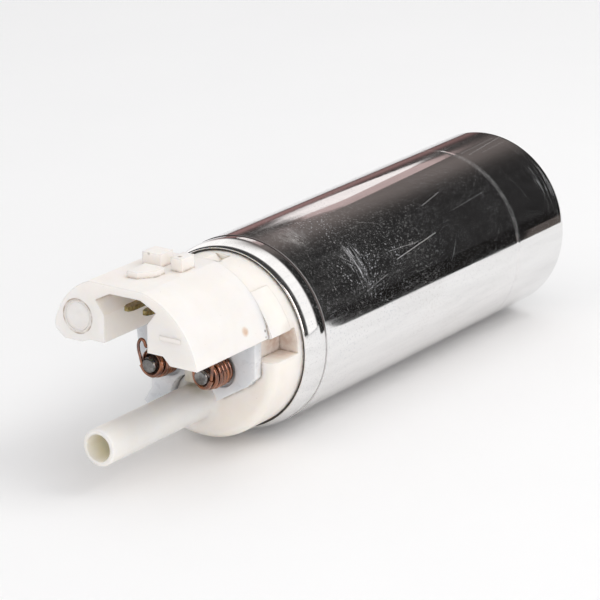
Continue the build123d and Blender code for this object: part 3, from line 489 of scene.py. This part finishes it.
# round lines at the ejector pin's mark: centre, radius, width, strength and colour
EJECTOR_SPOT = (-12.6, HOUSING_FRONT, 12.9)
RING_LINES = [(EJECTOR_SPOT, 3.75, 0.24, 0.75, (0.30, 0.20, 0.13)), (EJECTOR_SPOT, 1.7, 2.4, 0.10, (0.45, 0.44, 0.44))]
ivory_cap = moulded_plastic("ivory_cap", (0.90, 0.840, 0.775), (0.935, 0.885, 0.835), CAP_STAINS_AND_SHADE, TUBE_BORE)
ivory_housing = moulded_plastic("ivory_housing", (0.895, 0.838, 0.790), (0.93, 0.878, 0.838), HOUSING_MARKS,
                                rings=RING_LINES)
ivory_mark = moulded_plastic("ivory_mark", (0.90, 0.850, 0.810), (0.93, 0.880, 0.842), [], soil_and_shade=0.15, glow=0.0)
can_mirror = polished_steel("can_mirror")
nylon = clear_nylon("nylon")
copper = enamelled_copper("copper_enamel")
copper_bundle = wound_copper("copper_bundle")
lamination = laminated_steel("lamination")
blade_brass = plain_metal("blade_brass", (0.13, 0.095, 0.035), (0.46, 0.37, 0.17), 0.30, 0.9)
bar_copper = plain_metal("bar_copper", (0.42, 0.17, 0.08), (0.72, 0.34, 0.18), 0.3)
bronze = plain_metal("bronze", (0.34, 0.22, 0.09), (0.52, 0.36, 0.17), 0.4, 2.0, 0.02)
aluminium = plain_metal("aluminium", (0.46, 0.47, 0.48), (0.62, 0.63, 0.64), 0.42, 0.7, 0.03)
sintered = plain_metal("sintered", (0.20, 0.20, 0.21), (0.33, 0.33, 0.34), 0.48, 2.5, 0.02)
ground_steel = plain_metal("ground_steel", (0.52, 0.52, 0.54), (0.68, 0.68, 0.70), 0.2, 1.0, 0.005)
spring_steel = plain_metal("spring_steel", (0.30, 0.30, 0.32), (0.50, 0.50, 0.52), 0.28, 1.5)
ferrite = plain_metal("ferrite", (0.10, 0.095, 0.09), (0.34, 0.335, 0.33), 0.16, 0.45, 0.01, metallic=0.9)
magnet = plain_metal("magnet", (0.07, 0.07, 0.075), (0.13, 0.13, 0.14), 0.5, 1.2, 0.03, metallic=0.2)
rubber = dull_solid("rubber", (0.015, 0.015, 0.016), (0.04, 0.04, 0.042), 0.7)
carbon = dull_solid("carbon", (0.03, 0.03, 0.032), (0.075, 0.075, 0.08), 0.55, 2.0)
phenolic = dull_solid("phenolic", (0.10, 0.055, 0.03), (0.20, 0.12, 0.07), 0.5)
gap_black = dull_solid("gap_black", (0.025, 0.022, 0.02), (0.09, 0.08, 0.07), 0.6, 1.5)

FINISHES = {
    "can": can_mirror, "end_cap": ivory_cap, "connector_housing": ivory_housing,
    "end_cap_seal": rubber, "inlet_cover_seal": rubber, "front_bush": bronze, "rear_bush": bronze,
    "shaft": ground_steel, "commutator": bar_copper, "commutator_hub": phenolic,
    "armature_core": lamination, "front_winding": copper_bundle, "rear_winding": copper_bundle,
    "bearing_plate": aluminium, "pump_ring": sintered, "inner_rotor": sintered, "outer_rotor": sintered,
    "inlet_cover": aluminium, "upper_magnet_clip": spring_steel, "lower_magnet_clip": spring_steel,
    "check_valve_seat": bronze, "check_valve_face": rubber, "check_valve_poppet": ivory_cap,
    "check_valve_spring": spring_steel, "relief_valve_seat": bronze, "relief_valve_ball": ground_steel,
    "relief_valve_spring": spring_steel,
}
for side in ("left", "right"):
    FINISHES |= {
        f"{side}_choke_carrier": nylon, f"{side}_choke_core": ferrite, f"{side}_choke_coil": copper,
        f"{side}_terminal": blade_brass, f"{side}_brush": carbon, f"{side}_brush_spring": spring_steel,
        f"{side}_magnet": magnet,
    }
for node, finish in FINISHES.items():
    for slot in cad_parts[node].material_slots:
        slot.material = finish


def new_mesh(name, verts, faces, material, smooth_angle=35.0):
    """Mesh piece in metres from points in millimetres, smooth except across sharp edges."""
    mesh = bpy.data.meshes.new(name)
    mesh.from_pydata([[c * MM for c in vert] for vert in verts], [], faces)
    build = bmesh.new()
    build.from_mesh(mesh)
    bmesh.ops.remove_doubles(build, verts=build.verts, dist=WELD)
    bmesh.ops.recalc_face_normals(build, faces=build.faces)
    limit = math.radians(smooth_angle)
    for face in build.faces:
        face.smooth = True
    for edge in build.edges:
        if len(edge.link_faces) == 2 and edge.calc_face_angle(0.0) > limit:
            edge.smooth = False
    build.to_mesh(mesh)
    build.free()
    mesh.materials.append(material)
    piece = bpy.data.objects.new(name, mesh)
    bpy.context.scene.collection.objects.link(piece)
    return piece


def lathe(name, section, material, steps=256, centre=(0.0, 0.0), smooth_angle=35.0):
    """Closed surface of revolution about Y, from a section of radius and station."""
    verts, faces = [], []
    count = len(section)
    for step in range(steps):
        turn = 2 * math.pi * step / steps
        for radius, station in section:
            verts.append((centre[0] + radius * math.cos(turn), station, centre[1] + radius * math.sin(turn)))
    for step in range(steps):
        after = (step + 1) % steps
        for row in range(count):
            below = (row + 1) % count
            faces.append((step * count + row, after * count + row, after * count + below, step * count + below))
    return new_mesh(name, verts, faces, material, smooth_angle)


def arc(centre, radii, start, end, steps):
    """Points of an elliptical arc in a section, angles in degrees from the radius axis."""
    points = []
    for step in range(steps + 1):
        turn = math.radians(start + (end - start) * step / steps)
        points.append((centre[0] + radii[0] * math.cos(turn), centre[1] + radii[1] * math.sin(turn)))
    return points


# tilt of the collar's skin towards the front, in degrees, and how far each tilt runs
COLLAR_SWEEP = [(30, 0.12), (27, 0.16), (24, 0.18), (21, 0.20), (18.5, 0.22), (16, 0.26), (14, 0.34), (12, 0.40),
                (10, 0.44), (8, 0.48), (6, 0.52), (4, 0.52), (2, 0.45), (0, 0.45), (-2, 0.40), (-3, 0.33)]

LIP_ROLL = 0.34
CREASE_ROUND = 0.3
SHOULDER_ROUND = 0.14
TAIL_ROLL = 2.5
TAIL_OPENING = 17.4
TAIL_INSIDE = 53.4
SEAT_INSET = 0.3

# the ring: half its width, half its depth, steps of its curve, and where the plain wall begins again
BAND_HALF = 0.8
BAND_WAVE = 0.006
BAND_STEPS = 12
BAND_CLEAR = 0.95

# from the rim to the inner face of the lip, and to the end of the cap's seat
LIP_DEPTH = 1.1
SEAT_END = 6.1


def can_section():
    """Half section of the can: rolled lip, convex collar, crease and shoulder, ringed wall, tail roll."""
    outer = [(LIP_OPENING, RIM), (LIP_OPENING + 0.1, RIM)]
    outer += arc((LIP_OPENING + 0.1, RIM + LIP_ROLL), (LIP_ROLL, LIP_ROLL), -88, -34, 8)
    radius, station = outer[-1]
    for tilt, run in COLLAR_SWEEP:
        station += run * math.cos(math.radians(tilt))
        radius += run * math.sin(math.radians(tilt))
        outer.append((radius, station))
    outer += arc((radius - CREASE_ROUND, CREASE - 0.25), (CREASE_ROUND, CREASE_ROUND), 6, 36, 5)
    base = outer[-1][0]
    rise = CAN_RADIUS - base
    outer += arc((base, CREASE + SHOULDER_ROUND), (rise, SHOULDER_ROUND), -84, 0, 8)
    outer += [(CAN_RADIUS, CREASE + 0.6), (CAN_RADIUS, BAND - BAND_CLEAR)]
    outer += [(CAN_RADIUS - BAND_WAVE * (1 - math.cos(math.tau * step / BAND_STEPS)),
               BAND - BAND_HALF + 2 * BAND_HALF * step / BAND_STEPS) for step in range(BAND_STEPS + 1)]
    outer += [(CAN_RADIUS, BAND + BAND_CLEAR), (CAN_RADIUS, TAIL - 2.7)]
    outer += arc((CAN_RADIUS - TAIL_ROLL, TAIL - TAIL_ROLL), (TAIL_ROLL, TAIL_ROLL), 0, 90, 14)
    seat = SEAT_RADIUS - SEAT_INSET
    inner = [(TAIL_OPENING, TAIL), (TAIL_OPENING, TAIL_INSIDE), (CAN_BORE, TAIL_INSIDE), (CAN_BORE, RIM + SEAT_END),
             (seat, RIM + SEAT_END), (seat, RIM + LIP_DEPTH), (LIP_OPENING, RIM + LIP_DEPTH)]
    return outer + inner


can_shell = lathe("can_shell", can_section(), can_mirror, steps=320, smooth_angle=50)
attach(can_shell, "pump_body")
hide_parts("can")

# dark ring in the gap between the cap and the lip, just clear of both
GAP_SECTION = [(CAP_RADIUS + 0.02, RIM + 0.35), (LIP_OPENING - 0.01, RIM + 0.35),
               (LIP_OPENING - 0.01, RIM + 1.0), (CAP_RADIUS + 0.02, RIM + 1.0)]
gap_ring = lathe("crimp_gap_ring", GAP_SECTION, gap_black, steps=200)
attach(gap_ring, "pump_body")


WIRE_SIDES = 12
WIRE_SMOOTH_ANGLE = 60


def wire(name, points, radius, material):
    """Round wire through points, as a mesh tube with a steady frame, on the pump's body."""
    path = [Vector(point) for point in points]
    verts, faces = [], []
    way = (path[1] - path[0]).normalized()
    across = way.orthogonal().normalized()
    for index, point in enumerate(path):
        before, after = path[max(index - 1, 0)], path[min(index + 1, len(path) - 1)]
        turned = (after - before).normalized()
        across = (across - turned * across.dot(turned)).normalized()
        other = turned.cross(across)
        for side in range(WIRE_SIDES):
            angle = 2 * math.pi * side / WIRE_SIDES
            verts.append(point + radius * (math.cos(angle) * across + math.sin(angle) * other))
    for ring in range(len(path) - 1):
        for side in range(WIRE_SIDES):
            beside = (side + 1) % WIRE_SIDES
            faces.append((ring * WIRE_SIDES + side, ring * WIRE_SIDES + beside,
                          (ring + 1) * WIRE_SIDES + beside, (ring + 1) * WIRE_SIDES + side))
    faces.append(tuple(range(WIRE_SIDES)))
    last = (len(path) - 1) * WIRE_SIDES
    faces.append(tuple(last + side for side in range(WIRE_SIDES)))
    piece = new_mesh(name, verts, faces, material, WIRE_SMOOTH_ANGLE)
    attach(piece, "pump_body")
    return piece


CHOKE_X = 6.9
CHOKE_Z = -1.9
WIRE_RADIUS = 0.58
LEAD_RADIUS = 0.36
WIND_PITCH = 1.2
WIND_RADIUS = 3.0
WIND_TURNS = 5.15
WIND_STEPS = 32
# the turn from which the winding closes in round the nose, and by how much
NOSE_TURN = 3.6
NOSE_DRAW = 0.75


def smooth_curve(points, steps):
    """Catmull-Rom points through a few given ones."""
    knots = [Vector(point) for point in points]
    knots = [2 * knots[0] - knots[1], *knots, 2 * knots[-1] - knots[-2]]
    curve = []
    for a, b, c, d in zip(knots, knots[1:], knots[2:], knots[3:]):
        for step in range(steps):
            t = step / steps
            curve.append(0.5 * (2 * b + (c - a) * t + (2 * a - 5 * b + 4 * c - d) * t ** 2
                                + (3 * b - a - 3 * c + d) * t ** 3))
    return [*curve, knots[-2]]


def choke_points(side):
    """Tight winding from the carrier forward, closing in round the core's nose."""
    x, z = side * CHOKE_X, CHOKE_Z
    points = []
    station = POCKET_FLOOR - WIRE_RADIUS - 0.1
    for step in range(int(WIND_TURNS * WIND_STEPS) + 1):
        turn = step / WIND_STEPS
        nose = max(0.0, turn - NOSE_TURN) / (WIND_TURNS - NOSE_TURN)
        radius = WIND_RADIUS - NOSE_DRAW * nose ** 0.8
        angle = (0.0 if side > 0 else math.pi) + side * math.tau * (turn - WIND_TURNS)
        sway = 0.16 * nose * math.sin(angle * 2 + 1.0)
        points.append(Vector((x + (radius + sway) * math.cos(angle), station, z + (radius - sway) * math.sin(angle))))
        station -= (WIND_PITCH + 0.25 * nose) / WIND_STEPS
    return smooth_curve(points[::4], 6)


LEADS = {
    -1: [(-9.1, -73.5, -2.4), (-9.5, -73.6, -0.6), (-9.95, -73.6, 1.0), (-10.0, -73.5, 2.4), (-9.5, -73.3, 3.3),
         (-8.9, -73.0, 2.9), (-8.6, -72.6, 1.6), (-8.0, -71.9, 2.4), (-8.2, -71.9, 6.0), (-9.2, -72.6, 11.5)],
    1: [(9.1, -73.5, -2.4), (9.5, -73.7, -0.6), (10.0, -74.0, 3.0), (10.05, -74.2, 6.0), (10.05, -74.3, 11.5)],
}
# the ferrite rod with its shaped nose, as radius and station
ROD_SECTION = [(0.001, -66.6), (2.35, -66.6), (2.35, -71.6), (1.9, -72.8), (1.72, -73.6),
               *arc((1.22, -73.9), (0.5, 0.5), 0, -90, 6), (0.001, -74.44)]
for side, label in ((-1, "left"), (1, "right")):
    winding = wire(f"{label}_choke_winding", choke_points(side), WIRE_RADIUS, copper)
    lead = wire(f"{label}_choke_lead", smooth_curve(LEADS[side], 8), LEAD_RADIUS, copper)
    for piece in (winding, lead):
        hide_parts(f"{label}_choke_coil")
    rod = lathe(f"{label}_choke_rod", ROD_SECTION, ferrite, 64, (side * CHOKE_X, CHOKE_Z))
    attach(rod, "pump_body")
    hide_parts(f"{label}_choke_core")


# turns that lie closed at each end of a spring, their pitch in wire radii, and steps to a turn
END_TURNS = 0.9
CLOSED_PITCH = 2.1
SPRING_STEPS = 20


def coil_spring(node, wire_radius, turns):
    """Compression spring with closed ends in a sleeve's place."""
    low, high = (Vector(corner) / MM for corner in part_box(node))
    middle = (low + high) / 2
    coil = (high.x - low.x) / 2 - wire_radius
    span = high.y - low.y - 2 * wire_radius
    closed = CLOSED_PITCH * wire_radius * END_TURNS
    points = []
    for step in range(int(turns * SPRING_STEPS) + 1):
        turn = step / SPRING_STEPS
        if turn < END_TURNS:
            rise = closed * turn / END_TURNS
        elif turn > turns - END_TURNS:
            rise = span - closed * (turns - turn) / END_TURNS
        else:
            rise = closed + (span - 2 * closed) * (turn - END_TURNS) / (turns - 2 * END_TURNS)
        angle = math.tau * turn
        points.append((middle.x + coil * math.cos(angle), low.y + wire_radius + rise,
                       middle.z + coil * math.sin(angle)))
    piece = wire(f"{node}_coil", points, wire_radius, spring_steel)
    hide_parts(node)
    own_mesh(piece)


for side in ("left", "right"):
    coil_spring(f"{side}_brush_spring", 0.22, 7)
coil_spring("check_valve_spring", 0.2, 6)
coil_spring("relief_valve_spring", 0.2, 6)


def ring_mark(name, centre, radius, width, proud, material):
    """Thin raised ring on a front face, as an ejector pin leaves it."""
    x, face, z = centre
    section = [(radius - width, face + 0.02), (radius - width * 0.6, face - proud),
               (radius - width * 0.3, face - proud), (radius, face + 0.02)]
    piece = lathe(name, section, material, 72, (x, z))
    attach(piece, "pump_body")


ring_mark("ejector_ring", EJECTOR_SPOT, 3.5, 0.5, 0.03, ivory_mark)


def raised_bar(name, low, high, edge, material):
    """Small moulded bar with rounded edges."""
    piece = new_mesh(name, [(x, y, z) for x in (low[0], high[0]) for y in (low[1], high[1]) for z in (low[2], high[2])],
                     [(0, 1, 3, 2), (4, 6, 7, 5), (0, 4, 5, 1), (2, 3, 7, 6), (0, 2, 6, 4), (1, 5, 7, 3)], material)
    soft = piece.modifiers.new("edge", "BEVEL")
    soft.width, soft.segments = edge * MM, 3
    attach(piece, "pump_body")


raised_bar("leg_bar", (8.8, HOUSING_FRONT - 0.08, 11.7), (14.2, HOUSING_FRONT + 0.1, 12.8), 0.07, ivory_mark)


def card(name, corners, colour, strength):
    """Flat studio card, which only reflections see."""
    material = bpy.data.materials.new(name)
    material.use_nodes = True
    tree = material.node_tree
    tree.nodes.clear()
    glow = tree.nodes.new("ShaderNodeEmission")
    glow.inputs["Color"].default_value = (*colour, 1)
    glow.inputs["Strength"].default_value = strength
    out = tree.nodes.new("ShaderNodeOutputMaterial")
    tree.links.new(glow.outputs[0], out.inputs["Surface"])
    mesh = bpy.data.meshes.new(name)
    mesh.from_pydata([[c * MM for c in corner] for corner in corners], [], [tuple(range(len(corners)))])
    mesh.materials.append(material)
    piece = bpy.data.objects.new(name, mesh)
    bpy.context.scene.collection.objects.link(piece)
    piece.visible_camera = False
    piece.visible_diffuse = False
    piece.visible_transmission = False
    piece.visible_shadow = False


def toward(azimuth, elevation, distance):
    """Point seen from the can at an azimuth from +Y towards +X and an elevation."""
    a, e = math.radians(azimuth), math.radians(elevation)
    return distance * math.sin(a) * math.cos(e), distance * math.cos(a) * math.cos(e), distance * math.sin(e)


# a dark flag beside the can and a pale window past its far end, which the can mirrors
FLAG_X = 104
FLAG_EDGE = [(59, 14), (58.5, 4), (60, -5), (63, -12), (67.5, -16.2), (75, -16.8), (110, -18.3),
             (153, -20.8), (300, -20.8), (900, -20.8), (900, 14)]
card("dark_flag", [(FLAG_X, y, z) for y, z in FLAG_EDGE], (0.05, 0.046, 0.045), 0.12)
card("flag_foot", [(FLAG_X - 1, y, z) for y, z in ((157, -20.8), (900, -20.8), (900, -4), (157, -4))],
     (1.0, 0.84, 0.78), 0.10)
WINDOW_Y = 700
WINDOW_TOP = [(-559, 184), (-519, 288), (-455, 368), (-408, 374), (-411, 322), (-409, 291), (-430, 254), (-503, 206)]
WINDOW_SILL = [(-455, 368), (-397, 426), (-321, 456), (-326, 415), (-331, 360), (-368, 317), (-409, 291),
               (-411, 322), (-408, 374)]
card("window_top", [(x, WINDOW_Y, z) for x, z in WINDOW_TOP], (1.0, 0.93, 0.92), 1.05)
card("window_sill", [(x, WINDOW_Y, z) for x, z in WINDOW_SILL], (1.0, 0.76, 0.74), 0.55)

# a sheet in front and to the right, which the small round pieces mirror
SHEET_DISTANCE = 900
SHEET_CORNERS = ((108, 2), (146, 2), (146, 46), (108, 46))
card("side_sheet", [toward(azimuth, elevation, SHEET_DISTANCE) for azimuth, elevation in SHEET_CORNERS],
     (1.0, 0.90, 0.86), 3.6)


def area_light(name, azimuth, elevation, distance, size, power, colour):
    """Soft light of a size in metres, turned to the can's middle and unseen in reflections."""
    lamp = bpy.data.lights.new(name, "AREA")
    lamp.shape = "RECTANGLE"
    lamp.size, lamp.size_y = size
    lamp.energy = power
    lamp.color = colour
    piece = bpy.data.objects.new(name, lamp)
    piece.location = Vector(toward(azimuth, elevation, distance)) * MM
    piece.rotation_euler = (-piece.location).to_track_quat("-Z", "Y").to_euler()
    piece.visible_glossy = False
    piece.visible_camera = False
    bpy.context.scene.collection.objects.link(piece)


area_light("key", 62, 52, 900, (0.55, 0.42), 2.25, (1.0, 0.985, 0.965))
area_light("side_fill", 134, 12, 1000, (0.6, 0.3), 1.15, (1.0, 0.985, 0.97))
area_light("top", 20, 80, 900, (0.7, 0.7), 1.1, (1.0, 0.99, 0.98))
area_light("front_fill", 195, 35, 1100, (0.8, 0.6), 0.6, (1.0, 0.97, 0.93))

FLOOR_REACH = 6
floor_mesh = bpy.data.meshes.new("floor")
floor_mesh.from_pydata([(x * FLOOR_REACH, y * FLOOR_REACH, FLOOR_HEIGHT * MM)
                        for x, y in ((-1, -1), (1, -1), (1, 1), (-1, 1))], [], [(0, 1, 2, 3)])
paper = Shade("paper")
paper.set(Base_Color=paper.mix(paper.noise(0.02, 3), (0.93, 0.93, 0.93), (0.955, 0.955, 0.955)), Roughness=0.7,
          Normal=paper.bump(paper.noise(0.8, 3), 0.02))
floor_mesh.materials.append(paper.material)
floor = bpy.data.objects.new("floor", floor_mesh)
bpy.context.scene.collection.objects.link(floor)


# what mirrors see along the can's axis, from -Y to +Y: dark behind the camera, lit ceiling, dark background
CEILING = ((0.0, 0.30), (0.08, 0.10), (0.30, 0.045), (0.60, 0.05), (0.655, 0.16), (0.685, 1.2), (0.86, 1.2),
           (0.875, 0.30), (0.884, 0.016), (1.0, 0.012))
# soft glows in the dark part: direction, tightness and colour
GLOWS = (((-0.321, 0.795, 0.515), 38.0, (0.17, 0.145, 0.138)), ((-0.614, 0.784, 0.095), 220.0, (0.30, 0.175, 0.17)))
SOFT_LIGHT = (0.71, 0.71, 0.72)
BACKDROP = (0.97, 0.97, 0.97)


def studio_world():
    """Pale for the eye and for soft light; mirrors see a lit ceiling in front of a dark room."""
    world = bpy.data.worlds.new("studio")
    bpy.context.scene.world = world
    world.use_nodes = True
    tree = world.node_tree
    tree.nodes.clear()
    new, join = tree.nodes.new, tree.links.new

    def mixed(share, first, second):
        """Mix of two colours, each a socket or a plain value."""
        node = new("ShaderNodeMix")
        node.data_type = "RGBA"
        join(share, node.inputs[0])
        for target, value in ((node.inputs[6], first), (node.inputs[7], second)):
            if isinstance(value, bpy.types.NodeSocket):
                join(value, target)
            else:
                target.default_value = (*value, 1)
        return node.outputs[2]

    rays = new("ShaderNodeLightPath")
    where = new("ShaderNodeTexCoord")
    parts = new("ShaderNodeSeparateXYZ")
    join(where.outputs["Generated"], parts.inputs[0])
    ceiling = new("ShaderNodeValToRGB")
    ramp = ceiling.color_ramp
    while len(ramp.elements) < len(CEILING):
        ramp.elements.new(0.5)
    for element, (place, level) in zip(ramp.elements, CEILING):
        element.position = place
        element.color = (level, level * 0.985, level * 0.975, 1)
    halved = new("ShaderNodeMapRange")
    join(parts.outputs["Y"], halved.inputs["Value"])
    halved.inputs["From Min"].default_value = -1.0
    join(halved.outputs[0], ceiling.inputs[0])
    room = ceiling.outputs[0]

    for direction, tight, colour in GLOWS:
        facing = new("ShaderNodeVectorMath")
        facing.operation = "DOT_PRODUCT"
        join(where.outputs["Generated"], facing.inputs[0])
        facing.inputs[1].default_value = Vector(direction).normalized()
        positive = new("ShaderNodeMath")
        positive.operation = "MAXIMUM"
        join(facing.outputs["Value"], positive.inputs[0])
        positive.inputs[1].default_value = 0.0
        lobe = new("ShaderNodeMath")
        lobe.operation = "POWER"
        lobe.use_clamp = True
        join(positive.outputs[0], lobe.inputs[0])
        lobe.inputs[1].default_value = tight
        room = mixed(lobe.outputs[0], room, colour)
    lit = mixed(rays.outputs["Is Glossy Ray"], SOFT_LIGHT, room)
    background = new("ShaderNodeBackground")
    join(mixed(rays.outputs["Is Camera Ray"], lit, BACKDROP), background.inputs["Color"])
    out = new("ShaderNodeOutputWorld")
    join(background.outputs[0], out.inputs["Surface"])


studio_world()

# camera at the photograph's viewing point; the focal length is in pixels of its frame, enlarged to fill the picture
CAMERA_PLACE = (410.9, -624.9, 243.6)
CAMERA_AIM = (-0.534, 0.784, -0.317)
SENSOR_WIDTH = 36.0
FOCAL_PIXELS = 2691.3
FRAME_PIXELS = 600
ENLARGED = 1.27
camera_data = bpy.data.cameras.new("camera")
camera = bpy.data.objects.new("camera", camera_data)
bpy.context.scene.collection.objects.link(camera)
camera.location = Vector(CAMERA_PLACE) * MM
camera.rotation_euler = Vector(CAMERA_AIM).to_track_quat("-Z", "Y").to_euler()
camera_data.sensor_width = SENSOR_WIDTH
camera_data.lens = SENSOR_WIDTH * FOCAL_PIXELS / FRAME_PIXELS * ENLARGED
camera_data.shift_x = -0.022
camera_data.clip_start, camera_data.clip_end = 0.05, 30.0
bpy.context.scene.camera = camera
bpy.context.scene.view_settings.view_transform = "Standard"
